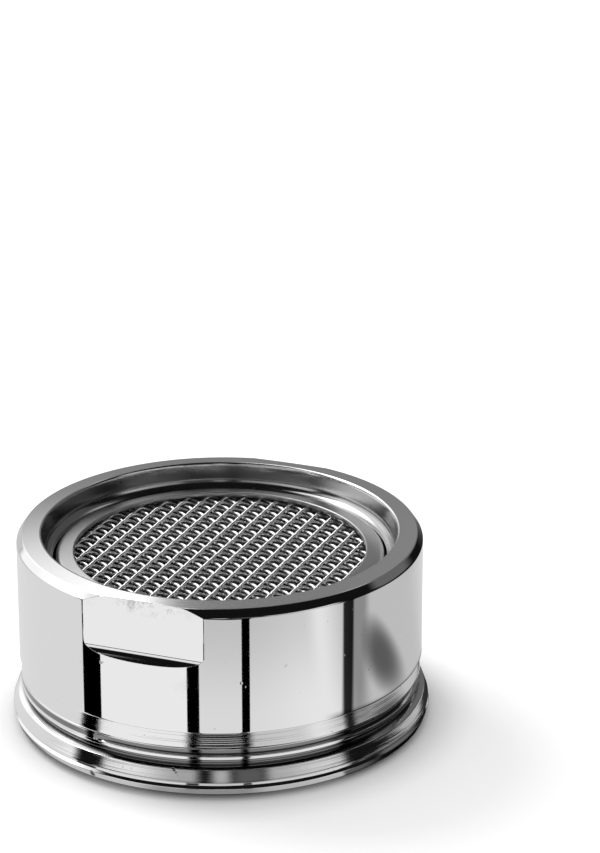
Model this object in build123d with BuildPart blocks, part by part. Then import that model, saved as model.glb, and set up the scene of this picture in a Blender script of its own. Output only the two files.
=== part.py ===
from build123d import *
import os

# A tap aerator: a chromed housing with a male thread, and inside it a drawn steel insert
# with its woven screens, spacer, jet plate and strainer, closed by a rubber washer.
# It stands on the washer, inlet down and outlet up. Millimetres, Z up, origin under its axis.

# Housing, outside
thread_diameter = 24.0
thread_pitch = 1.0
thread_turns = 3
thread_depth = 0.8
crest_loss = 0.3
lead_chamfer = 0.23
neck_rise = 0.1
neck_length = 0.6
body_step = 0.45
body_length = 7.2
rim_chamfer_width = 0.45
rim_chamfer_height = 0.52

# Wrench flats at the rim
flat_depth = 0.55
flat_length = 3.5
flat_foot_radius = 0.5
flat_count = 2

# Housing, inside
body_wall = 1.5
seat_width = 0.65
mouth_step = 0.55
mouth_cove = 0.6
mouth_wall_depth = 0.95
mouth_land = 0.7

# Sealing washer
washer_thickness = 1.6
washer_proud = 0.4
washer_width = 2.4
washer_clearance = 0.1

# Insert shell, drawn from thin sheet
sheet = 0.3
air_gap = 0.15
body_clearance = 0.32
flange_clearance = 0.3
lip_drop = 1.18
lip_width = 1.05
lower_length = 1.8
shoulder_height = 1.45
slot_count = 3
slot_angle = 64.0
slot_margin = 0.2

# Screens, each two layers of wire that cross
wire = 0.28
outlet_wire_pitch = 1.6
inner_wire_pitch = 3.2
outlet_screen_turn = 53.0
screen_turn_step = 30.0
screen_clearance = 0.1

# Spacer sleeve between the screens and the jet plate
sleeve_wall = 0.6
sleeve_clearance = 0.1
window_margin = 6.0

# Jet plate
plate_thickness = 1.0
plate_clearance = 0.1
jet_count = 6
jet_diameter = 1.3
jet_inset = 1.53

# Strainer: a moulded frame that holds a flat screen
frame_clearance = 0.1
frame_wall = 0.6
frame_ledge = 0.6
rib_count = 6
rib_width = 0.8
strainer_wire = 0.22
strainer_wire_pitch = 3.0
strainer_turn = 23.0
strainer_clearance = 0.05

# Radii that the pieces share
crest_radius = thread_diameter / 2
root_radius = crest_radius - thread_depth
neck_radius = root_radius + neck_rise
body_radius = crest_radius - body_step
bore_radius = body_radius - body_wall
counterbore_radius = bore_radius + seat_width
mouth_radius = bore_radius - mouth_step
mouth_wall_radius = mouth_radius + mouth_cove
washer_radius = counterbore_radius - washer_clearance
washer_inside = washer_radius - washer_width
shell_upper_radius = mouth_radius - air_gap
shell_lower_radius = bore_radius - body_clearance
shell_upper_inside = shell_upper_radius - sheet
shell_lower_inside = shell_lower_radius - sheet
flange_radius = counterbore_radius - flange_clearance
lip_radius = shell_upper_radius - lip_width
screen_radius = shell_upper_inside - screen_clearance
sleeve_radius = shell_upper_inside - sleeve_clearance
sleeve_inside = sleeve_radius - sleeve_wall
plate_radius = shell_lower_inside - plate_clearance
frame_radius = shell_lower_inside - frame_clearance
recess_radius = frame_radius - frame_wall
ledge_radius = recess_radius - frame_ledge
strainer_radius = recess_radius - strainer_clearance

# Heights, from the washer's face upward
housing_bottom = washer_proud
thread_top = housing_bottom + thread_turns * thread_pitch
body_bottom = thread_top + neck_length
rim_top = body_bottom + body_length
flange_bottom = washer_thickness
seat_height = flange_bottom + 2 * sheet
shoulder_bottom = seat_height + lower_length
shoulder_top = shoulder_bottom + shoulder_height
lip_top = rim_top - lip_drop
lip_underside = lip_top - sheet
screen_thickness = 2 * wire
screen_pitches = {
    "outlet_screen": outlet_wire_pitch,
    "middle_screen": inner_wire_pitch,
    "inner_screen": inner_wire_pitch,
}
sleeve_top = lip_underside - len(screen_pitches) * screen_thickness
shoulder_slope = shoulder_height / (shell_lower_radius - shell_upper_radius)
plate_top = shoulder_bottom + shoulder_slope * plate_clearance
plate_bottom = plate_top - plate_thickness
strainer_thickness = 2 * strainer_wire
ledge_height = flange_bottom + strainer_thickness

# The lead ring's flat crest lies between these shares of the pitch, and a ridge's edge midway
crest_start = 0.55
crest_end = 0.75
crest_middle = (crest_start + crest_end) / 2


def radial_plane(angle):
    """The upright plane through the axis at this angle, with its own x pointing outward."""
    outward = Vector(1, 0, 0).rotate(Axis.Z, angle)
    normal = Vector(0, -1, 0).rotate(Axis.Z, angle)
    return Plane((0, 0, 0), x_dir=outward, z_dir=normal)


def thread_outline():
    """Section of the thread upward: a lead ring with a flat crest, then ridges that stand lower."""
    outline = [
        (crest_radius - lead_chamfer, housing_bottom),
        (crest_radius, housing_bottom + crest_start * thread_pitch),
        (crest_radius, housing_bottom + crest_end * thread_pitch),
    ]
    for turn in range(1, thread_turns):
        start = housing_bottom + turn * thread_pitch
        outline.append((root_radius, start))
        outline.append((crest_radius - turn * crest_loss, start + crest_middle * thread_pitch))
    return outline


def window_cutters(inner, outer, low, high, angle):
    """The air windows as solids, evenly spaced round the axis and this wide in degrees."""
    with BuildPart() as cutters:
        for window in range(slot_count):
            middle = window * 360 / slot_count
            with BuildSketch(radial_plane(middle - angle / 2)):
                with Locations((inner, low)):
                    Rectangle(outer - inner, high - low, align=(Align.MIN, Align.MIN))
            revolve(axis=Axis.Z, revolution_arc=angle)
    return cutters.part


def woven_screen(radius, bottom, thickness, pitch, turn):
    """Two layers of parallel wires of this thickness, which cross and join at right angles."""
    count = 2 * int((radius - thickness) / pitch) + 1
    with BuildPart() as mesh:
        for layer, angle in enumerate((turn, turn + 90)):
            level = bottom + layer * thickness
            with BuildSketch(Plane.XY.offset(level).rotated((0, 0, angle))):
                with GridLocations(pitch, pitch, 1, count):
                    Rectangle(2 * radius, thickness)
                Circle(radius, mode=Mode.INTERSECT)
            extrude(amount=thickness)
    return mesh.part


def save(piece, name):
    """Name a finished piece and write it out."""
    piece.label = name
    export_step(piece, f"parts/{name}.step")


os.makedirs("parts", exist_ok=True)

# Housing: one turned piece, with the mouth, the bore and the washer's counterbore inside
cove_top = rim_top - mouth_wall_depth
land_top = cove_top - mouth_cove
land_bottom = land_top - mouth_land
with BuildPart() as housing:
    with BuildSketch(Plane.XZ):
        with BuildLine():
            Polyline(
                (counterbore_radius, housing_bottom),
                *thread_outline(),
                (neck_radius, thread_top),
                (neck_radius, body_bottom),
                (body_radius, body_bottom),
                (body_radius, rim_top - rim_chamfer_height),
                (body_radius - rim_chamfer_width, rim_top),
                (mouth_wall_radius, rim_top),
                (mouth_wall_radius, cove_top),
                (mouth_radius, land_top),
                (mouth_radius, land_bottom),
                (bore_radius, land_bottom - mouth_step),
                (bore_radius, seat_height),
                (counterbore_radius, seat_height),
                close=True,
            )
        make_face()
    revolve(axis=Axis.Z)
    for side in range(flat_count):
        with BuildSketch(radial_plane(90 + side * 360 / flat_count)) as flat_cut:
            with Locations((body_radius - flat_depth, rim_top - flat_length)):
                Rectangle(body_radius, body_length, align=(Align.MIN, Align.MIN))
            inner_corners = flat_cut.vertices().sort_by_distance((0, 0, 0))
            fillet(inner_corners[0], flat_foot_radius)
        extrude(amount=body_radius, both=True, mode=Mode.SUBTRACT)
save(housing.part, "housing")

# Insert shell: a drawn can, its lip turned in over the screens and its flange folded double
air_slots = window_cutters(
    shell_upper_inside - sheet,
    bore_radius,
    shoulder_bottom + slot_margin,
    shoulder_top - slot_margin,
    slot_angle,
)
with BuildPart() as insert_shell:
    with BuildSketch(Plane.XZ):
        with BuildLine():
            Polyline(
                (lip_radius, lip_top),
                (shell_upper_radius, lip_top),
                (shell_upper_radius, shoulder_top),
                (shell_lower_radius, shoulder_bottom),
                (shell_lower_radius, seat_height),
                (flange_radius, seat_height),
                (flange_radius, flange_bottom),
                (shell_lower_inside, flange_bottom),
                (shell_lower_inside, shoulder_bottom),
                (shell_upper_inside, shoulder_top),
                (shell_upper_inside, lip_underside),
                (lip_radius, lip_underside),
                close=True,
            )
        make_face()
    revolve(axis=Axis.Z)
    add(air_slots, mode=Mode.SUBTRACT)
save(insert_shell.part, "insert_shell")

# Woven screens, stacked under the lip from the outlet inward
for place, (name, pitch) in enumerate(screen_pitches.items()):
    bottom = lip_underside - (place + 1) * screen_thickness
    turn = outlet_screen_turn + place * screen_turn_step
    save(woven_screen(screen_radius, bottom, wire, pitch, turn), name)

# Spacer sleeve: stands on the jet plate, carries the screens, and is open at the air slots
sleeve_windows = window_cutters(
    sleeve_inside - sleeve_wall,
    shell_upper_radius,
    plate_top - slot_margin,
    shoulder_top,
    slot_angle + window_margin,
)
with BuildPart() as spacer_sleeve:
    with BuildSketch(Plane.XY.offset(plate_top)):
        Circle(sleeve_radius)
        Circle(sleeve_inside, mode=Mode.SUBTRACT)
    extrude(amount=sleeve_top - plate_top)
    add(sleeve_windows, mode=Mode.SUBTRACT)
save(spacer_sleeve.part, "spacer_sleeve")

# Jet plate: seated on the slope of the shoulder
with BuildPart() as jet_plate:
    with BuildSketch(Plane.XY.offset(plate_bottom)):
        Circle(plate_radius)
        with PolarLocations(plate_radius - jet_inset, jet_count):
            Circle(jet_diameter / 2, mode=Mode.SUBTRACT)
    extrude(amount=plate_thickness)
save(jet_plate.part, "jet_plate")

# Strainer frame: a ring under the jet plate, with ribs behind the strainer's screen
with BuildPart() as strainer_frame:
    with BuildSketch(Plane.XY.offset(flange_bottom)):
        Circle(frame_radius)
        Circle(recess_radius, mode=Mode.SUBTRACT)
    extrude(amount=plate_bottom - flange_bottom)
    with BuildSketch(Plane.XY.offset(ledge_height)):
        Circle(frame_radius)
        Circle(ledge_radius, mode=Mode.SUBTRACT)
        with PolarLocations(0, rib_count):
            Rectangle(recess_radius, rib_width, align=(Align.MIN, Align.CENTER))
    extrude(amount=plate_bottom - ledge_height)
save(strainer_frame.part, "strainer_frame")

# Strainer screen: in the frame's recess, level with the flange
strainer_screen = woven_screen(
    strainer_radius,
    flange_bottom,
    strainer_wire,
    strainer_wire_pitch,
    strainer_turn,
)
save(strainer_screen, "strainer_screen")

# Sealing washer: a flat stamped ring
with BuildPart() as sealing_washer:
    with BuildSketch():
        Circle(washer_radius)
        Circle(washer_inside, mode=Mode.SUBTRACT)
    extrude(amount=washer_thickness)
save(sealing_washer.part, "sealing_washer")
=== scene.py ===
"""Looks of a tap aerator: chromed housing, drawn steel insert, woven screens and rubber washer.

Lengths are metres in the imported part's own frame: Z up, origin under the axis, outlet upward.
"""
import math

import bmesh
import bpy
import numpy as np
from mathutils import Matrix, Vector


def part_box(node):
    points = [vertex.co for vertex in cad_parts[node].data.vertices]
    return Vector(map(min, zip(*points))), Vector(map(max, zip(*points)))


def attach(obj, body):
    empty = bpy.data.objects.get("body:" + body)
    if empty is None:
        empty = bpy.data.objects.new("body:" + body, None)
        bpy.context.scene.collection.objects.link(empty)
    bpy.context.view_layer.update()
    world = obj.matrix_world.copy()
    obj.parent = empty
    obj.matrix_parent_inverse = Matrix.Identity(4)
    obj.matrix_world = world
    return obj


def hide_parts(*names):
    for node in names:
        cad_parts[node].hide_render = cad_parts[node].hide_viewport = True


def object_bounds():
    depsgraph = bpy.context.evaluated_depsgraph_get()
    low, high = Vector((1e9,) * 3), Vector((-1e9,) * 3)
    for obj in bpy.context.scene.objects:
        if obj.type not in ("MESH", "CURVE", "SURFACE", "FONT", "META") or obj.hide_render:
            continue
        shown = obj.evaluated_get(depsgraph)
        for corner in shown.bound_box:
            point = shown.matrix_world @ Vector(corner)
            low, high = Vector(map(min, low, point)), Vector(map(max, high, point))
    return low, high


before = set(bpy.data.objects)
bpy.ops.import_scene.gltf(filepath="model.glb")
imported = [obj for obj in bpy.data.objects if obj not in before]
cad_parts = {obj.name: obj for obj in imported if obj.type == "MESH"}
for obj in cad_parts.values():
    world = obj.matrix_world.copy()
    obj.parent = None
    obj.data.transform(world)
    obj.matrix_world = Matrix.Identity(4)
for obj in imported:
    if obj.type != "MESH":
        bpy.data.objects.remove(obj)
cad_low, cad_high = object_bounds()
MM = 0.001
UP = Vector((0, 0, 1))

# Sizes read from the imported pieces
housing_low, housing_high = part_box("housing")
shell_low, shell_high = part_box("insert_shell")
washer_low, washer_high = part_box("sealing_washer")
crest_radius = housing_high.x
rim_top = housing_high.z
lip_top = shell_high.z
flange_radius = shell_high.x
flange_bottom = shell_low.z

# Housing, body and rim
body_radius = crest_radius - 0.45 * MM
body_bottom = rim_top - 7.37 * MM
wall_start = body_bottom + 0.5 * MM
chamfer_width = 0.3 * MM
chamfer_height = 0.51 * MM
rim_fall = 0.1 * MM
rim_outer_round = 0.1 * MM
rim_inner_round = 0.15 * MM
wall_top_round = 0.18 * MM

# Housing, wrench flats: foot_radius is the curve at a flat's foot
flat_azimuths = (-90.0, 90.0)
flat_reach = body_radius - 0.55 * MM
flat_edge_turn = math.acos(flat_reach / body_radius)
flat_foot = rim_top - 3.5 * MM
foot_radius = 0.55 * MM
foot_edge_round = 0.02 * MM
flat_top_round = 0.06 * MM
corner_melt = 0.02 * MM
least_rim_step = 0.06 * MM

# Housing, thread and neck
thread_bottom = housing_low.z - 0.17 * MM
root_radius = 11.2 * MM
neck_radius = 11.26 * MM
neck_flare = 0.175 * MM
second_crest_radius = 11.47 * MM
second_crest_height = thread_bottom + 2.17 * MM
last_crest_radius = neck_radius + neck_flare + 0.04 * MM
last_crest_height = thread_bottom + 2.61 * MM

# Azimuths from the front between which the last groove is filled, and how slowly it fades in
groove_gap = (-115.0, -38.0)
groove_fades = (12.0, 9.0)

# Insert shell
sheet = 0.3 * MM
shell_upper_radius = 9.35 * MM
shell_lower_radius = 9.73 * MM
lip_width = 1.05 * MM
lip_radius = shell_upper_radius - lip_width
lip_corner = 0.3 * MM
lip_edge = 0.12 * MM
lip_fall = 0.12 * MM
shoulder_bottom = 4.0 * MM
shoulder_top = 5.45 * MM
shoulder_bend = 0.4 * MM
tight_bend = 0.15 * MM
flange_edge = 0.25 * MM
slot_margin = 0.2 * MM
slot_angle = 64.0
slot_count = 3

# Housing, inside
mouth_wall_radius = 10.1 * MM
mouth_wall_depth = 0.95 * MM
mouth_wall_row = rim_top - 0.5 * MM
mouth_radius = 9.5 * MM
mouth_land = 0.7 * MM
bore_radius = 10.05 * MM
counterbore_radius = 10.7 * MM
seat_height = flange_bottom + 2 * sheet

# Plain weave: wires one way crimped most, and wires across them that stay nearly straight
wire = 0.2 * MM
weave_directions = (53.4, 146.7)
weave_spacings = (0.592 * MM, 0.866 * MM)
weave_lifts = (0.175 * MM, 0.035 * MM)
strainer_directions = (23.0, 113.0)
strainer_wire = 0.16 * MM
strainer_spacing = 0.5 * MM

# Sealing washer
washer_inside = 8.2 * MM
washer_bulge = 0.04 * MM
washer_corner = 0.18 * MM

# Camera, measured in the photograph: its plan is turned from the part's axes, and its place is
# given in rim radii to the right, away and up from the middle of the rim
view_turn = math.radians(21.1)
right = Vector((math.cos(view_turn), math.sin(view_turn), 0))
away = Vector((-math.sin(view_turn), math.cos(view_turn), 0))
front_azimuth = math.degrees(view_turn) - 90
rim_radius = 11.41 * MM
camera_place = (0.399, -15.266, 6.343)
camera_pitch = math.radians(20.82)
camera_lens = 140.07

# Studio: its levels, and the lamp's place to the right, away and up
softbox_level = 2.2
dark_level = 0.006
fill_level = 0.62
table_glow = 0.38
table_half = 1.5
lamp_place = (-0.2, 0.18, 0.26)
lamp_size = 0.2
lamp_energy = 0.6

# Strips of the table that the wall mirrors dark: two azimuths of the wall, softness in
# millimetres and depth
mirrored_strips = (
    (-39.5, -33.2, 0.05, 1.0),
    (-7.8, -4.5, 0.05, 1.0),
    (7.0, 9.2, 0.05, 1.0),
    (36.7, 40.4, 0.4, 0.97),
    (39.0, 45.5, 1.6, 0.5),
)


class Value:
    """A shader value: arithmetic on it adds Math nodes to its material."""

    def __init__(self, look, socket):
        self.look = look
        self.socket = socket

    def apply(self, operation, *others):
        """The result of a Math node on this value and the others."""
        inputs = dict(enumerate((self, *others)))
        made = self.look.node("ShaderNodeMath", {"operation": operation}, inputs)
        return self.look.value(made)

    def __add__(self, other):
        return self.apply("ADD", other)

    __radd__ = __add__

    def __mul__(self, other):
        return self.apply("MULTIPLY", other)

    __rmul__ = __mul__

    def __sub__(self, other):
        return self.apply("SUBTRACT", other)

    def __rsub__(self, other):
        return (self * -1) + other

    def __truediv__(self, other):
        return self.apply("DIVIDE", other)

    def __rtruediv__(self, other):
        return self.apply("POWER", -1) * other

    def __abs__(self):
        return self.apply("ABSOLUTE")

    def rise(self, low, high):
        """0 below low, 1 above high and a smooth step between; high may be the lower one."""
        settings = {"interpolation_type": "SMOOTHSTEP"}
        inputs = {"Value": self, "From Min": low, "From Max": high}
        made = self.look.node("ShaderNodeMapRange", settings, inputs)
        return self.look.value(made, "Result")

    def band(self, low, high, soft):
        """1 between low and high, with edges this soft."""
        return self.rise(low - soft, low + soft) * self.rise(high + soft, high - soft)


class Look:
    """The nodes of one material or of the world."""

    def __init__(self, tree):
        self.tree = tree
        tree.nodes.clear()

    def node(self, kind, settings=None, inputs=None):
        """Add a node, set it up, then give its sockets their values or links."""
        made = self.tree.nodes.new(kind)
        for name, value in (settings or {}).items():
            setattr(made, name, value)
        for name, value in (inputs or {}).items():
            if isinstance(value, Value):
                self.tree.links.new(value.socket, made.inputs[name])
            elif isinstance(value, bpy.types.NodeSocket):
                self.tree.links.new(value, made.inputs[name])
            else:
                made.inputs[name].default_value = value
        return made

    def value(self, node, output=0):
        return Value(self, node.outputs[output])

    def place(self):
        """Where a point lies, in its object's own frame."""
        return self.node("ShaderNodeTexCoord").outputs["Object"]

    def split(self, vector):
        parts = self.node("ShaderNodeSeparateXYZ", None, {"Vector": vector})
        return [self.value(parts, axis) for axis in "XYZ"]

    def join(self, x, y, z):
        made = self.node("ShaderNodeCombineXYZ", None, {"X": x, "Y": y, "Z": z})
        return made.outputs["Vector"]

    def noise(self, vector, scale, detail=2.0, roughness=0.5):
        inputs = {"Vector": vector, "Scale": scale, "Detail": detail, "Roughness": roughness}
        return self.value(self.node("ShaderNodeTexNoise", None, inputs), "Fac")

    def mix(self, factor, first, second):
        settings = {"data_type": "RGBA"}
        inputs = {"Factor": factor, 6: first, 7: second}
        return self.node("ShaderNodeMix", settings, inputs).outputs[2]

    def as_grey(self, value):
        """A value as a grey colour."""
        inputs = {0: value, 1: value, 2: value}
        return self.node("ShaderNodeCombineColor", None, inputs).outputs[0]

    def bump(self, height, strength, distance):
        inputs = {"Height": height, "Strength": strength, "Distance": distance}
        return self.node("ShaderNodeBump", None, inputs).outputs["Normal"]

    def blend(self, factor, first, second):
        """The first shader where the factor is 0, and the second where it is 1."""
        inputs = {0: factor, 1: first.outputs[0], 2: second.outputs[0]}
        return self.node("ShaderNodeMixShader", None, inputs)


def grey(level):
    return (level, level, level, 1.0)


def new_look(name):
    """A material with empty nodes, and the tool that fills them."""
    material = bpy.data.materials.new(name)
    material.use_nodes = True
    return material, Look(material.node_tree)


def close_look(look, shader):
    look.node("ShaderNodeOutputMaterial", None, {"Surface": shader.outputs[0]})


def close_surface(look, colour, roughness, normal, metallic=0.0):
    """Close a material with one surface shader."""
    inputs = {"Base Color": colour, "Metallic": metallic, "Roughness": roughness, "Normal": normal}
    close_look(look, look.node("ShaderNodeBsdfPrincipled", None, inputs))


def near(look, place, point, size):
    """1 at a point of the part, in millimetres, falling to 0 at this distance from it."""
    settings = {"operation": "DISTANCE"}
    target = tuple(c * MM for c in point)
    made = look.node("ShaderNodeVectorMath", settings, {0: place, 1: target})
    return look.value(made, "Value").rise(size * MM, 0.4 * size * MM)


def wear_smudge(look, place, y, z):
    """Finger marks along the top of the front flat, and a faint smear beside it on the body."""
    on_flat = (y * -1).rise(flat_reach - 0.05 * MM, flat_reach - 0.02 * MM)
    on_flat = on_flat * z.rise(rim_top - 1.1 * MM, rim_top - 0.35 * MM)
    blotches = look.noise(place, 1700.0, detail=4.0, roughness=0.7)
    finger = near(look, place, (0.3, -11.0, 10.7), 2.2)
    smear = near(look, place, (2.6, -11.25, 6.4), 0.9) * blotches.rise(0.45, 0.6)
    return on_flat * blotches.rise(0.47, 0.66) * (finger * 1.1 + 0.2) + smear * 0.15


def wear_nicks(look, place):
    """Small dents: one on the lead ring, a scratch across the thread, and two on the body."""
    dents = near(look, place, (-2.92, -11.54, 0.56), 0.24)
    for share in (0.0, 0.25, 0.5, 0.75, 1.0):
        point = (1.9 + 0.4 * share, -11.54, 1.75 - 0.5 * share)
        dents = dents.apply("MAXIMUM", near(look, place, point, 0.11))
    for point, size in (((5.42, -10.2, 6.85), 0.09), ((5.56, -10.12, 6.62), 0.12)):
        dents = dents.apply("MAXIMUM", near(look, place, point, size) * 0.25)
    return dents


def darker_thread_grooves(z):
    """A darker colour in the thread's two upper grooves."""
    soft = 0.03 * MM
    lower = z.band(thread_bottom + 1.56 * MM, second_crest_height - 0.24 * MM, soft)
    upper = z.band(second_crest_height + 0.06 * MM, last_crest_height - 0.05 * MM, soft)
    return lower + upper


def chrome_look():
    """Polished chrome: turned lines on thread and rim, a satin mouth darkened with painted shade,
    darker upper thread grooves, and the wear it shows.
    """
    material, look = new_look("chrome")
    place = look.place()
    x, y, z = look.split(place)
    radius = (x * x + y * y).apply("SQRT")
    on_thread = z.rise(body_bottom + 0.02 * MM, body_bottom - 0.02 * MM)
    on_rim = z.rise(rim_top - rim_fall - 0.04 * MM, rim_top - rim_fall)
    in_mouth = radius.rise(mouth_wall_radius + 0.08 * MM, mouth_wall_radius + 0.03 * MM)
    in_mouth = in_mouth * z.band(rim_top - 2.5 * MM, rim_top - 0.2 * MM, 0.04 * MM)
    along = look.join(0.0, 0.0, z * (1 - on_rim) + radius * on_rim)
    coarse_lines = look.noise(along, 5200.0)
    fine_lines = look.noise(along, 16000.0, detail=3.0)
    lines = coarse_lines * 0.6 + fine_lines * 0.4
    haze = look.noise(place, 260.0, detail=4.0, roughness=0.6).rise(0.45, 0.8)
    specks = look.noise(place, 1900.0).rise(0.73, 0.77)
    pits = look.noise(look.join(x, y, z * 0.35), 3400.0).rise(0.7, 0.74) * in_mouth
    smudge = wear_smudge(look, place, y, z)
    nicks = wear_nicks(look, place)
    depth = on_thread * 1.3 + on_rim * 0.15 + in_mouth * 0.3 + 0.012
    normal = look.bump(lines * depth - nicks * 0.7, strength=0.5, distance=0.02 * MM)
    roughness = 0.03 + haze * 0.03 + on_thread * 0.03 + on_rim * 0.08
    roughness = roughness + in_mouth * 0.12 + smudge * 0.2 + specks * 0.15
    darkening = smudge * 0.3 + specks * 0.18 + pits * 0.3 + nicks * 1.1
    # Painted shade: the mouth's colour is darkened for the shade in that recess, and the thread's
    # upper grooves are darker too.
    darkening = darkening + in_mouth * 0.6 + darker_thread_grooves(z) * 0.85
    colour = look.mix(darkening, grey(0.87), grey(0.12))
    close_surface(look, colour, roughness, normal, metallic=1.0)
    return material


def sheet_steel_look():
    """Drawn stainless sheet: matt, with a fine rolled grain and faint lines round the wall."""
    material, look = new_look("drawn_steel")
    place = look.place()
    z = look.split(place)[2]
    grain = look.noise(place, 9000.0, detail=3.0, roughness=0.6)
    cloud = look.noise(place, 500.0, detail=3.0)
    drawn = look.noise(look.join(0.0, 0.0, z), 7000.0)
    normal = look.bump(grain * 0.6 + drawn * 0.4, strength=0.2, distance=0.012 * MM)
    colour = look.mix(grain * 0.5, grey(0.56), grey(0.4))
    close_surface(look, colour, 0.26 + cloud * 0.1, normal, metallic=1.0)
    return material


def wire_look(name, shade):
    """Drawn steel wire of this shade, a little rough, with darker spots where scale has settled."""
    material, look = new_look(name)
    place = look.place()
    scale_spots = look.noise(place, 1500.0, detail=3.0, roughness=0.65).rise(0.5, 0.75)
    drawn = look.noise(place, 12000.0)
    normal = look.bump(drawn, strength=0.15, distance=0.008 * MM)
    colour = look.mix(scale_spots * 0.5, grey(shade), grey(shade * 0.55))
    close_surface(look, colour, 0.25 + scale_spots * 0.12, normal, metallic=0.9)
    return material


def plastic_look():
    """Moulded white plastic with a fine spark-eroded grain."""
    material, look = new_look("white_plastic")
    place = look.place()
    grain = look.noise(place, 6000.0, detail=3.0)
    cloud = look.noise(place, 400.0)
    normal = look.bump(grain, strength=0.2, distance=0.015 * MM)
    colour = look.mix(cloud, (0.8, 0.8, 0.78, 1), (0.7, 0.7, 0.67, 1))
    close_surface(look, colour, 0.42 + cloud * 0.15, normal)
    return material


def rubber_look():
    """Black rubber, dull, with a fine moulded grain and a dusty bloom."""
    material, look = new_look("black_rubber")
    place = look.place()
    grain = look.noise(place, 5000.0, detail=4.0)
    bloom = look.noise(place, 600.0, detail=4.0, roughness=0.6).rise(0.4, 0.75)
    normal = look.bump(grain, strength=0.3, distance=0.02 * MM)
    colour = look.mix(bloom, grey(0.02), grey(0.05))
    close_surface(look, colour, 0.55 + bloom * 0.2, normal)
    return material


def mesh_piece(name, vertices, faces, material):
    """A smooth-shaded object from points and faces."""
    mesh = bpy.data.meshes.new(name)
    mesh.from_pydata([tuple(map(float, v)) for v in vertices], [], faces)
    mesh.validate()
    mesh.polygons.foreach_set("use_smooth", [True] * len(mesh.polygons))
    mesh.materials.append(material)
    piece = bpy.data.objects.new(name, mesh)
    bpy.context.scene.collection.objects.link(piece)
    return piece


def clean(piece, distance=1e-8):
    """Join doubled points, drop the empty faces that this leaves, and turn all faces outward."""
    work = bmesh.new()
    work.from_mesh(piece.data)
    bmesh.ops.remove_doubles(work, verts=work.verts, dist=distance)
    bmesh.ops.dissolve_degenerate(work, dist=distance, edges=work.edges)
    bmesh.ops.recalc_face_normals(work, faces=work.faces)
    work.to_mesh(piece.data)
    work.free()


def fit(piece, node):
    """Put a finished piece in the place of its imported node, on the one body."""
    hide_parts(node)
    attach(piece, "root")


def lathe_faces(rows, columns, left_out=()):
    """Quads of a closed grid that runs round both ways, without the (row, column) cells left out."""
    faces = []
    left_out = set(left_out)
    for row in range(rows):
        upper = (row + 1) % rows
        for column in range(columns):
            if (row, column) in left_out:
                continue
            after = (column + 1) % columns
            faces.append((
                row * columns + column,
                row * columns + after,
                upper * columns + after,
                upper * columns + column,
            ))
    return faces


def lathe_points(radii, heights, azimuths):
    """Points of a turned grid: radii and heights are (rows, columns), azimuths one per column."""
    x = radii * np.cos(azimuths)
    y = radii * np.sin(azimuths)
    return np.stack((x, y, heights), axis=-1).reshape(-1, 3)


def turned_points(outline, columns):
    """Points of one outline turned round the axis in this many even steps."""
    azimuths = np.radians(np.arange(columns) * 360 / columns)
    radii = np.repeat(outline[:, :1], columns, axis=1)
    heights = np.repeat(outline[:, 1:], columns, axis=1)
    return lathe_points(radii, heights, azimuths)


def eased(corners, steps=4, hold=0.03 * MM):
    """Points of an outline of (r, z, radius): each corner a small curve, held flat on both sides.

    most_cut and most_hold are the shares of an edge that a curve and its held part may take.
    """
    most_cut = 0.3
    most_hold = 0.19
    points = []
    count = len(corners)
    for place, (r, z, radius) in enumerate(corners):
        here = np.array((r, z))
        if radius == 0:
            points.append(here)
            continue
        before = np.array(corners[place - 1][:2]) - here
        after = np.array(corners[(place + 1) % count][:2]) - here
        behind = max(np.linalg.norm(before), 1e-12)
        beyond = max(np.linalg.norm(after), 1e-12)
        before = before / behind
        after = after / beyond
        half = math.acos(np.clip(before @ after, -1, 1)) / 2
        cut = min(radius / max(math.tan(half), 1e-3), most_cut * min(behind, beyond))
        start = here + before * cut
        end = here + after * cut
        points.append(start + before * min(hold, most_hold * behind))
        for share in np.linspace(0, 1, steps + 1):
            rest = 1 - share
            points.append(rest * rest * start + 2 * rest * share * here + share * share * end)
        points.append(end + after * min(hold, most_hold * beyond))
    return np.array(points)


def melt(first, second, radius):
    """The lesser of two radii, with the corner between them rounded."""
    share = min(max(0.5 + 0.5 * (second - first) / radius, 0), 1)
    return second * (1 - share) + first * share - radius * share * (1 - share)


def housing_azimuths():
    """Columns of the housing: even all round, closer on the flats and closest at their edges."""
    edge_start, edge_end = 17.2, 18.4
    on_flat = np.arange(0, edge_start, 0.5)
    at_edge = np.arange(edge_start, edge_end, 0.1)
    offsets = np.concatenate((on_flat, at_edge))
    sets = [np.arange(0, 360, 1.2)]
    for middle in flat_azimuths:
        sets.append((middle + offsets) % 360)
        sets.append((middle - offsets) % 360)
    merged = np.unique(np.round(np.concatenate(sets), 3))
    return np.radians(merged)


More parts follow.
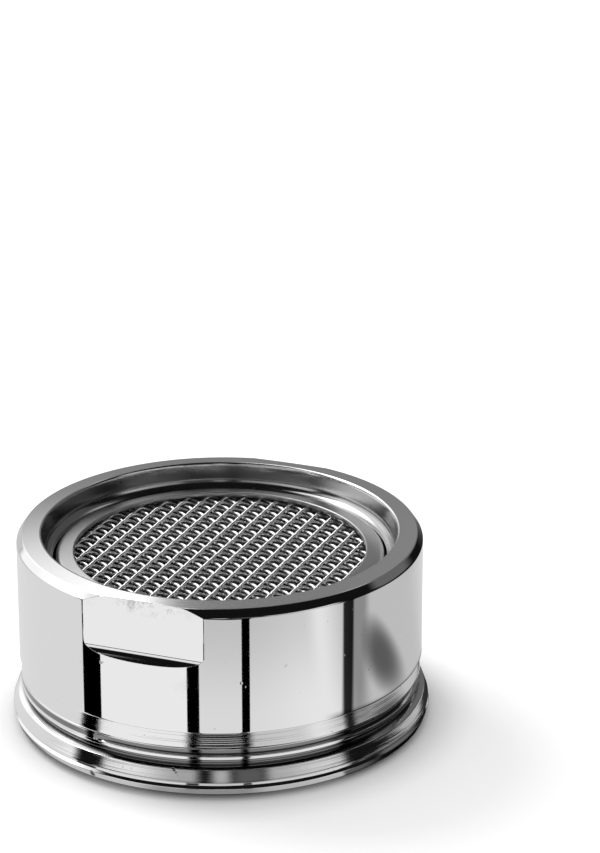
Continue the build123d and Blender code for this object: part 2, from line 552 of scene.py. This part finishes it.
def thread_outline():
    """Corners of the thread, from its lead edge up to the foot of the body."""
    bottom = thread_bottom
    return [
        (crest_radius - 0.18 * MM, bottom, 0.03 * MM),
        (crest_radius, bottom + 0.47 * MM, 0.03 * MM),
        (crest_radius - 0.13 * MM, bottom + 0.64 * MM, 0.02 * MM),
        (crest_radius - 0.04 * MM, bottom + 0.81 * MM, 0.03 * MM),
        (crest_radius - 0.07 * MM, bottom + 0.9 * MM, 0.03 * MM),
        (crest_radius - 0.28 * MM, bottom + 1.48 * MM, 0.03 * MM),
        (root_radius, bottom + 1.62 * MM, 0.04 * MM),
        (root_radius, bottom + 1.88 * MM, 0.04 * MM),
        (second_crest_radius, second_crest_height - 0.18 * MM, 0.03 * MM),
        (second_crest_radius, second_crest_height, 0.03 * MM),
        (root_radius, second_crest_height + 0.1 * MM, 0.03 * MM),
        (root_radius, last_crest_height - 0.12 * MM, 0.03 * MM),
        (last_crest_radius, last_crest_height, 0.03 * MM),
        (neck_radius + neck_flare, last_crest_height + 0.07 * MM, 0.02 * MM),
        (neck_radius, body_bottom, 0.04 * MM),
        (body_radius, body_bottom, 0.06 * MM),
        (body_radius, wall_start, 0.0),
    ]


def groove_share(azimuths):
    """How deep the last groove is in each direction: it starts in a point at the front left."""
    turn = (np.degrees(azimuths) - front_azimuth + 180) % 360 - 180
    behind = np.clip((groove_gap[0] - turn) / groove_fades[0], 0, 1)
    beyond = np.clip((turn - groove_gap[1]) / groove_fades[1], 0, 1)
    share = np.maximum(behind, beyond)
    return share * share * (3 - 2 * share)


def thread_rows(azimuths):
    """The thread's rows: one turned outline, whose last groove is filled where it runs out."""
    share = groove_share(azimuths)
    rows = []
    for r, z in eased(thread_outline(), steps=2):
        filled = r
        if second_crest_height < z < last_crest_height:
            along = (z - second_crest_height) / (last_crest_height - second_crest_height)
            ridge = second_crest_radius + (last_crest_radius - second_crest_radius) * along
            filled = max(r, ridge)
        rows.append((filled + (r - filled) * share, z))
    return rows


def flat_turn(azimuth):
    """The angle between a direction and the middle of the nearest flat."""
    turns = []
    for middle in flat_azimuths:
        turn = (azimuth - math.radians(middle) + math.pi) % (2 * math.pi) - math.pi
        turns.append(abs(turn))
    return min(turns)


def rim_height(radius):
    """Height of the slightly coned rim at this radius."""
    width = body_radius - chamfer_width - mouth_wall_radius
    return rim_top - rim_fall * (radius - mouth_wall_radius) / width


def upper_corners(turn):
    """Corners of the body this far from a flat's middle: wall, round foot, flat, chamfer and rim."""
    foot_steps = 10
    lean = max(math.cos(turn), 0.5)
    cut_in = 1 - (body_radius * lean - flat_reach) / foot_radius
    start = math.acos(min(max(cut_in, 0), 1))
    edge = flat_foot + foot_radius * (1 - math.sin(start))
    corners = [(body_radius, wall_start, 0), (body_radius, edge, foot_edge_round)]
    for angle in np.linspace(start, 0, foot_steps + 1)[1:]:
        reach = flat_reach + foot_radius * (1 - math.cos(angle))
        height = flat_foot + foot_radius * (1 - math.sin(angle))
        corners.append((melt(body_radius, reach / lean, corner_melt), height, 0))
    wall = melt(body_radius, flat_reach / lean, corner_melt)
    chamfer_top = body_radius - chamfer_width
    slope = (chamfer_height - rim_fall) / chamfer_width
    height = rim_height(wall)
    if wall > chamfer_top:
        height = rim_top - chamfer_height + (body_radius - wall) * slope
    inner = min(chamfer_top, wall - least_rim_step)
    past_edge = min(max((turn - flat_edge_turn) / math.radians(6), 0), 1)
    rounding = flat_top_round + (wall_top_round - flat_top_round) * past_edge
    return [
        *corners,
        (wall, height, rounding),
        (inner, rim_height(inner), rim_outer_round),
        (mouth_wall_radius, rim_top, rim_inner_round),
        (mouth_wall_radius, mouth_wall_row, 0),
    ]


def body_rows(azimuths):
    """Rows of the upper body, one outline worked out for each column."""
    outlines = [eased(upper_corners(flat_turn(azimuth))) for azimuth in azimuths]
    grid = np.array(outlines)
    return [(grid[:, row, 0], grid[:, row, 1]) for row in range(grid.shape[1])]


def inside_outline():
    """Corners of the mouth, the bore, the seat and the counterbore, from the rim downward."""
    cove = mouth_wall_radius - mouth_radius
    cove_top = rim_top - mouth_wall_depth
    land_top = cove_top - cove
    land_bottom = land_top - mouth_land
    arc = []
    for angle in np.linspace(0, 80, 9):
        turn = math.radians(angle)
        arc.append((
            mouth_wall_radius - cove * (1 - math.cos(turn)),
            cove_top - cove * math.sin(turn),
            0,
        ))
    return [
        *arc,
        (mouth_radius, land_top, 0.04 * MM),
        (mouth_radius, land_bottom, 0.03 * MM),
        (bore_radius, land_bottom - (bore_radius - mouth_radius), 0.05 * MM),
        (bore_radius, seat_height, 0.05 * MM),
        (counterbore_radius, seat_height, 0.05 * MM),
        (counterbore_radius, thread_bottom, 0.05 * MM),
        (crest_radius - 0.25 * MM, thread_bottom, 0),
    ]


def make_housing(material):
    """The chromed housing, one turned grid with the flats and the thread's run-out worked in."""
    azimuths = housing_azimuths()
    rows = thread_rows(azimuths) + body_rows(azimuths)
    rows += list(eased(inside_outline(), steps=2))
    radii = np.array([np.broadcast_to(r, azimuths.shape) for r, z in rows])
    heights = np.array([np.broadcast_to(z, azimuths.shape) for r, z in rows])
    points = lathe_points(radii, heights, azimuths)
    piece = mesh_piece("chromed_housing", points, lathe_faces(*radii.shape), material)
    clean(piece)
    fit(piece, "housing")


def shell_outline():
    """Corners of the drawn shell: up its outside, over the lip, and down its inside."""
    upper_inside = shell_upper_radius - sheet
    lower_inside = shell_lower_radius - sheet
    return [
        (flange_radius, flange_bottom, flange_edge),
        (flange_radius, seat_height, flange_edge),
        (shell_lower_radius, seat_height, tight_bend),
        (shell_lower_radius, shoulder_bottom, shoulder_bend),
        (shell_upper_radius, shoulder_top, shoulder_bend),
        (shell_upper_radius, lip_top - lip_fall, lip_corner),
        (lip_radius, lip_top, lip_edge),
        (lip_radius, lip_top - sheet, lip_edge),
        (upper_inside, lip_top - sheet, tight_bend),
        (upper_inside, shoulder_top, shoulder_bend),
        (lower_inside, shoulder_bottom, shoulder_bend),
        (lower_inside, flange_bottom, tight_bend),
    ]


def slot_levels(outline, low, high):
    """Add points to both walls of the shell at the heights where the slots start and end."""
    edge = 1e-6
    kept = []
    count = len(outline)
    for place, point in enumerate(outline):
        kept.append(point)
        after = outline[(place + 1) % count]
        climb = after[1] - point[1]
        if climb == 0:
            continue
        levels = (low, high) if climb > 0 else (high, low)
        for level in levels:
            share = (level - point[1]) / climb
            if edge < share < 1 - edge:
                kept.append(point + (after - point) * share)
    return np.array(kept)


def slotted_faces(outline, columns, low, high):
    """Faces of the shell without the slots' cells, and the walls that line each slot."""
    same_height = 1e-9
    count = len(outline)
    at_low = [row for row in range(count) if abs(outline[row][1] - low) < same_height]
    at_high = [row for row in range(count) if abs(outline[row][1] - high) < same_height]
    outside_low, inside_low = at_low[0], at_low[-1]
    outside_high, inside_high = at_high[0], at_high[-1]
    outside_rows = range(outside_low, outside_high)
    inside_rows = range(inside_high, inside_low)
    ring = [*outside_rows, outside_high, *inside_rows, inside_low]
    half = int(slot_angle / 2 * columns / 360)
    left_out = []
    walls = []
    for slot in range(slot_count):
        middle = slot * columns // slot_count
        first, last = middle - half, middle + half
        span = [c % columns for c in range(first, last)]
        left_out += [(row, column) for row in (*outside_rows, *inside_rows) for column in span]
        for outer, inner in ((outside_low, inside_low), (outside_high, inside_high)):
            for column in span:
                after = (column + 1) % columns
                walls.append((
                    outer * columns + column,
                    outer * columns + after,
                    inner * columns + after,
                    inner * columns + column,
                ))
        for column in (first % columns, last % columns):
            walls.append(tuple(row * columns + column for row in ring))
    return lathe_faces(count, columns, left_out) + walls


def make_shell(material):
    """The drawn insert shell with its lip and flange, and the air slots through its shoulder."""
    columns = 360
    low = shoulder_bottom + slot_margin
    high = shoulder_top - slot_margin
    outline = slot_levels(eased(shell_outline(), steps=5, hold=0.04 * MM), low, high)
    points = turned_points(outline, columns)
    faces = slotted_faces(outline, columns, low, high)
    piece = mesh_piece("drawn_insert_shell", points, faces, material)
    clean(piece)
    fit(piece, "insert_shell")


def wire_paths(radius, weave):
    """Centre lines of a plain weave cut to a disc, as arrays of x, y and height about its middle."""
    spacings, step = weave["spacings"], weave["step"]
    turns = [math.radians(direction) for direction in weave["directions"]]
    along = [np.array((math.cos(turn), math.sin(turn))) for turn in turns]
    across = [np.array((-v[1], v[0])) for v in along]
    paths = []
    for family, other, sign in ((0, 1, 1), (1, 0, -1)):
        count = int(radius / spacings[family])
        rate = along[family] @ across[other] / spacings[other]
        shift = across[family] @ across[other] * spacings[family] / spacings[other]
        for number in range(-count, count + 1):
            offset = number * spacings[family]
            reach = math.sqrt(max(radius ** 2 - offset ** 2, 0))
            if reach < 4 * step:
                continue
            s = np.linspace(-reach, reach, max(4, int(2 * reach / step)))
            crossing = s * rate + number * shift
            lift = sign * weave["lifts"][family] * np.cos(math.pi * (crossing + number))
            plan = offset * across[family] + s[:, None] * along[family]
            paths.append(np.column_stack((plan, lift)))
    return paths


def tubes(paths, radius, sides):
    """Points and faces of round wires along these centre lines, closed at their ends."""
    turns = np.arange(sides) * 2 * math.pi / sides
    all_points, faces, base = [], [], 0
    for path in paths:
        ahead = np.gradient(path, axis=0)
        ahead /= np.linalg.norm(ahead, axis=1)[:, None]
        side = np.cross(ahead, (0.0, 0.0, 1.0))
        side /= np.linalg.norm(side, axis=1)[:, None]
        up = np.cross(side, ahead)
        ring = side[:, None] * np.cos(turns)[:, None] + up[:, None] * np.sin(turns)[:, None]
        all_points.append((path[:, None] + radius * ring).reshape(-1, 3))
        count = len(path)
        for row in range(count - 1):
            low = base + row * sides
            for corner in range(sides):
                after = (corner + 1) % sides
                faces.append((low + corner, low + after, low + sides + after, low + sides + corner))
        faces.append(tuple(base + corner for corner in reversed(range(sides))))
        faces.append(tuple(base + (count - 1) * sides + corner for corner in range(sides)))
        base += count * sides
    return np.concatenate(all_points), faces


def make_screen(node, name, weave, material):
    """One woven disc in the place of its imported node."""
    low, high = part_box(node)
    paths = wire_paths((high.x - low.x) / 2, weave)
    for path in paths:
        path[:, 2] += (low.z + high.z) / 2
    points, faces = tubes(paths, weave["wire"] / 2, weave["sides"])
    piece = mesh_piece(name, points, faces, material)
    fit(piece, node)


def make_screens(bright, darkening):
    """The three outlet screens, each turned from the one above, and the finer strainer."""
    outlet = {
        "directions": weave_directions,
        "spacings": weave_spacings,
        "lifts": weave_lifts,
        "wire": wire,
        "step": 0.085 * MM,
        "sides": 8,
    }
    make_screen("outlet_screen", "outlet_woven_screen", outlet, bright)
    # The middle and inner screens take the darker wire, a shaded copy that paints the shade deeper
    # in the insert.
    behind = {**outlet, "step": 0.11 * MM, "sides": 6}
    for node, turn in (("middle_screen", 30.0), ("inner_screen", 60.0)):
        behind["directions"] = [direction + turn for direction in weave_directions]
        make_screen(node, node.replace("_", "_woven_"), behind, darkening)
    strainer = {
        **behind,
        "directions": strainer_directions,
        "spacings": (strainer_spacing, strainer_spacing),
        "lifts": (strainer_wire / 2, strainer_wire / 2),
        "wire": strainer_wire,
    }
    make_screen("strainer_screen", "strainer_woven_screen", strainer, bright)


def make_washer(material):
    """The rubber washer, a stamped ring with soft edges and slightly bulged sides."""
    columns = 240
    outside = washer_high.x
    bottom, top = washer_low.z, washer_high.z
    middle = (bottom + top) / 2
    outline = eased([
        (washer_inside + washer_bulge, bottom, washer_corner),
        (outside - washer_bulge, bottom, washer_corner),
        (outside, middle, 0),
        (outside - washer_bulge, top, washer_corner),
        (washer_inside + washer_bulge, top, washer_corner),
        (washer_inside, middle, 0),
    ], steps=6, hold=0.05 * MM)
    points = turned_points(outline, columns)
    piece = mesh_piece("rubber_washer", points, lathe_faces(len(outline), columns), material)
    clean(piece)
    fit(piece, "sealing_washer")


def dress_packed_pieces(looks):
    """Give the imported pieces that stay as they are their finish."""
    finishes = {
        "spacer_sleeve": looks["plastic"],
        "strainer_frame": looks["plastic"],
        "jet_plate": looks["sheet_steel"],
    }
    for name, material in finishes.items():
        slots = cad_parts[name].data.materials
        slots.clear()
        slots.append(material)


def light_direction(look, vector):
    """Azimuth from the front, to the right, and height above the horizon, both in degrees."""
    x, y, z = look.split(vector)
    front = x * -away.x + y * -away.y
    side = x * right.x + y * right.y
    azimuth = side.apply("ARCTAN2", front) * math.degrees(1)
    height = z.apply("ARCSINE") * math.degrees(1)
    return azimuth, height


def toward(look, vector, azimuth, height):
    """Cosine of the angle between a direction and the one at this azimuth and height."""
    turn = math.radians(azimuth)
    lift = math.radians(height)
    level = math.sin(turn) * right - math.cos(turn) * away
    target = math.cos(lift) * level + math.sin(lift) * UP
    settings = {"operation": "DOT_PRODUCT"}
    made = look.node("ShaderNodeVectorMath", settings, {0: vector, 1: tuple(target)})
    return look.value(made, "Value")


def studio_panels(look, vector):
    """What polished metal mirrors above the table: white panels, dark gaps and a dark ceiling.

    The edges of the panels are azimuths and heights in degrees.
    """
    azimuth, height = light_direction(look, vector)
    left_front = azimuth.band(-64, -12, 2) * (azimuth.rise(-20, -52) * 0.55 + 0.4)
    front_slit = azimuth.band(-3, 5, 2) * 0.45
    dim_front = azimuth.band(8, 24, 4) * 0.1
    right_front = azimuth.band(26, 69, 3) * (azimuth.rise(30, 62) * 0.35 + 0.45)
    fronts = (left_front + front_slit + dim_front + right_front) * height.band(6, 29, 3)
    left_high = azimuth.band(-96, -74, 4) * height.band(20, 42, 3) * 0.9
    softbox = height.rise(13, 31) * 0.9 + height.rise(31.5, 36.5) * softbox_level
    softbox = softbox * azimuth.band(-175.1, -96, 1.0) * height.rise(58, 52)
    left_wall = azimuth.band(-146, -82, 3) * 0.5 + azimuth.band(-168, -82, 3) * 0.55
    left_wall = left_wall * height.rise(-4, 4) * height.rise(34, 24)
    right_wall = azimuth.band(100, 172, 4) * height.rise(58, 50) * height.rise(7, 14) * 0.13
    right_high = azimuth.band(128, 162, 6) * height.band(46, 55, 3) * 0.7
    back = abs(azimuth).rise(167, 174) * height.rise(40, 34) * 0.22
    overhead = toward(look, vector, -104, 55).rise(0.974, 0.986) * 1.8
    panels = fronts + left_high + softbox + left_wall + right_wall + right_high + back + overhead
    return panels + dark_level


def mirrored_azimuth(wall):
    """The azimuth that the camera sees mirrored in an upright wall at this azimuth of the body."""
    side = camera_place[0] * rim_radius - body_radius * math.sin(wall)
    back = -camera_place[1] * rim_radius - body_radius * math.cos(wall)
    return 2 * wall - math.atan2(side, back)


def table_strip(x, y, start, end, soft):
    """1 on the strip of table that the round body mirrors between two azimuths of its wall."""
    edges = []
    for azimuth in (start, end):
        wall = math.radians(azimuth)
        turn = mirrored_azimuth(wall)
        offset = body_radius * math.sin(turn - wall)
        edges.append(x * math.cos(turn) + y * math.sin(turn) + offset)
    middle = mirrored_azimuth(math.radians((start + end) / 2))
    ahead = x * math.sin(middle) - y * math.cos(middle)
    inside = edges[0].rise(-soft, soft) * edges[1].rise(soft, -soft)
    return inside * ahead.rise(4 * MM, 5 * MM)


def table_tone(azimuth, distance, kept):
    """The painted tone that mirrors show of the table round the part, all painted shade: pale in
    front, and darker at the right, far out and behind.
    """
    tone = 0.77 + azimuth.rise(-60, -54) * 0.16 - azimuth.rise(-12, -8) * 0.14
    tone = tone + azimuth.rise(12, 44) * 0.1 - azimuth.rise(46, 66) * 0.32
    tone = tone + azimuth.rise(108, 140) * 0.12
    far_front = azimuth.band(-10, 45, 5) * distance.rise(20 * MM, 36 * MM)
    tone = tone * (1 - far_front * 0.25)
    around = abs(azimuth).rise(150, 176)
    tone = tone * (1 - around) + around * 0.73
    behind = abs(azimuth).rise(100, 120) * distance.rise(28 * MM, 46 * MM)
    tone = tone * (1 - behind * (azimuth.rise(-90, 90) * kept * 0.63 + 0.2))
    far_back = azimuth.band(96, 146, 8) * distance.rise(32 * MM, 44 * MM)
    return tone * (1 - far_back * 0.97)


def dark_streak(x, y):
    """1 in the middle of a soft oval streak of painted shade on the table at the right, and 0 past
    its edge.
    """
    aside = x - 22.81 * MM
    back = y + 3.49 * MM
    across = (aside * 0.583 + back * 0.812) / (5.0 * MM)
    along = (aside * 0.812 - back * 0.583) / (8.4 * MM)
    return (across * across + along * along).rise(1.0, 0.0)


def table_shade(look):
    """What polished metal mirrors of the table, all painted: its tone, dark strips, a dark streak
    and painted shadows.

    Azimuths are degrees to the right of the front. The shades of the right side fade out towards
    the back, so that they meet those of the left side there.
    """
    x, y = look.split(look.place())[:2]
    azimuth = x.apply("ARCTAN2", y * -1) * math.degrees(1)
    distance = (x * x + y * y).apply("SQRT")
    kept = azimuth.rise(172, 140)
    tone = table_tone(azimuth, distance, kept)
    clear = distance.rise(12.6 * MM, 13.6 * MM)
    for start, end, soft, depth in mirrored_strips:
        tone = tone * (1 - table_strip(x, y, start, end, soft * MM) * clear * depth)
    tone = tone * (1 - dark_streak(x, y) * 0.8)
    # Painted shadows and dark patches that only mirrors show: under the right side, far out at the
    # right, ahead, round the foot and in the gap under the lead ring.
    reach = distance + azimuth * (0.057 * MM)
    under = azimuth.rise(42, 54) * kept * reach.rise(22.4 * MM, 21.2 * MM)
    far_right = azimuth.rise(58, 68) * kept * distance.rise(36.5 * MM, 39 * MM)
    lens = azimuth.band(-13.5, 16, 1.5) * distance.rise(36.8 * MM, 38.5 * MM)
    tone = tone * (1 - under * 0.95) * (1 - far_right * 0.95) * (1 - lens * 0.97)
    contact = azimuth.band(-20, 12, 5) * 0.28 + azimuth.rise(36.5, 38.5) * kept * 0.52 + 0.36
    contact = contact * distance.rise(13.4 * MM, 12.6 * MM)
    gap = distance.rise(12.0 * MM, 11.9 * MM)
    return tone * (1 - contact) * (1 - gap * 0.75)


def table_look():
    """The pale table: lit white for the camera with a glow that paints a contact shadow near the
    part, and for mirrors a glowing painted shade.
    """
    material, look = new_look("pale_table")
    lit = look.node("ShaderNodeBsdfDiffuse", None, {"Color": grey(0.9)})
    # Painted shadow: the glow fades where the part hides the sky, darkening the table round its
    # foot.
    occlusion = look.node("ShaderNodeAmbientOcclusion", None, {"Distance": 3 * MM})
    open_sky = look.as_grey(look.value(occlusion, "AO").apply("POWER", 2.5))
    glow = look.node("ShaderNodeEmission", None, {"Color": open_sky, "Strength": table_glow})
    glowing = look.node("ShaderNodeAddShader", None, {0: lit.outputs[0], 1: glow.outputs[0]})
    shade = look.as_grey(table_shade(look))
    mirrored = look.node("ShaderNodeEmission", None, {"Color": shade})
    path = look.node("ShaderNodeLightPath").outputs
    shown = look.blend(path["Is Camera Ray"], lit, glowing)
    close_look(look, look.blend(path["Is Glossy Ray"], shown, mirrored))
    return material


def make_table(material):
    """A wide plain table under the part, turned to the camera's plan."""
    half = table_half
    corners = [(-half, -half, 0), (half, -half, 0), (half, half, 0), (-half, half, 0)]
    mesh = bpy.data.meshes.new("table")
    mesh.from_pydata(corners, [], [(0, 1, 2, 3)])
    mesh.materials.append(material)
    table = bpy.data.objects.new("table", mesh)
    table.rotation_euler = (0, 0, view_turn)
    table.location = (0, 0, cad_low.z)
    bpy.context.scene.collection.objects.link(table)


def make_world():
    """White to the camera, panels to polished metal, and an even fill for everything else."""
    world = bpy.data.worlds.new("studio")
    world.use_nodes = True
    bpy.context.scene.world = world
    look = Look(world.node_tree)
    direction = look.node("ShaderNodeTexCoord").outputs["Generated"]
    panels = look.as_grey(studio_panels(look, direction))
    fill = look.node("ShaderNodeBackground", None, {"Color": grey(1.0), "Strength": fill_level})
    mirrored = look.node("ShaderNodeBackground", None, {"Color": panels, "Strength": 1.0})
    white = look.node("ShaderNodeBackground", None, {"Color": grey(1.0), "Strength": 1.0})
    path = look.node("ShaderNodeLightPath").outputs
    shown = look.blend(path["Is Glossy Ray"], fill, mirrored)
    shown = look.blend(path["Is Camera Ray"], shown, white)
    look.node("ShaderNodeOutputWorld", None, {"Surface": shown.outputs[0]})


def make_lamp():
    """One broad lamp at the back left, which gives the soft shadow to the right."""
    light = bpy.data.lights.new("broad_lamp", "AREA")
    light.shape = "DISK"
    light.size = lamp_size
    light.energy = lamp_energy
    lamp = bpy.data.objects.new("broad_lamp", light)
    lamp.location = lamp_place[0] * right + lamp_place[1] * away + lamp_place[2] * UP
    aim = Vector((0, 0, 5 * MM)) - lamp.location
    lamp.rotation_euler = aim.to_track_quat("-Z", "Y").to_euler()
    lamp.visible_glossy = False
    bpy.context.scene.collection.objects.link(lamp)


def make_camera():
    """The camera at the photograph's place, with the whole photograph as its frame."""
    data = bpy.data.cameras.new("camera")
    data.sensor_width = 36.0
    data.sensor_fit = "AUTO"
    data.lens = camera_lens
    data.clip_start = 0.01
    data.clip_end = 10.0
    camera = bpy.data.objects.new("camera", data)
    reach = camera_place[0] * right + camera_place[1] * away + camera_place[2] * UP
    camera.location = Vector((0, 0, rim_top)) + rim_radius * reach
    ahead = math.cos(camera_pitch) * away - math.sin(camera_pitch) * UP
    camera.rotation_euler = ahead.to_track_quat("-Z", "Y").to_euler()
    bpy.context.scene.collection.objects.link(camera)
    bpy.context.scene.camera = camera


def main():
    looks = {
        "chrome": chrome_look(),
        "sheet_steel": sheet_steel_look(),
        "wire": wire_look("steel_wire", 0.85),
        # A darker copy of the same wire: painted shade for the screens that lie deeper.
        "shaded_wire": wire_look("shaded_wire", 0.1),
        "plastic": plastic_look(),
        "rubber": rubber_look(),
    }
    make_housing(looks["chrome"])
    make_shell(looks["sheet_steel"])
    make_screens(looks["wire"], looks["shaded_wire"])
    make_washer(looks["rubber"])
    dress_packed_pieces(looks)
    make_table(table_look())
    make_world()
    make_lamp()
    make_camera()
    bpy.context.scene.view_settings.view_transform = "Standard"


main()
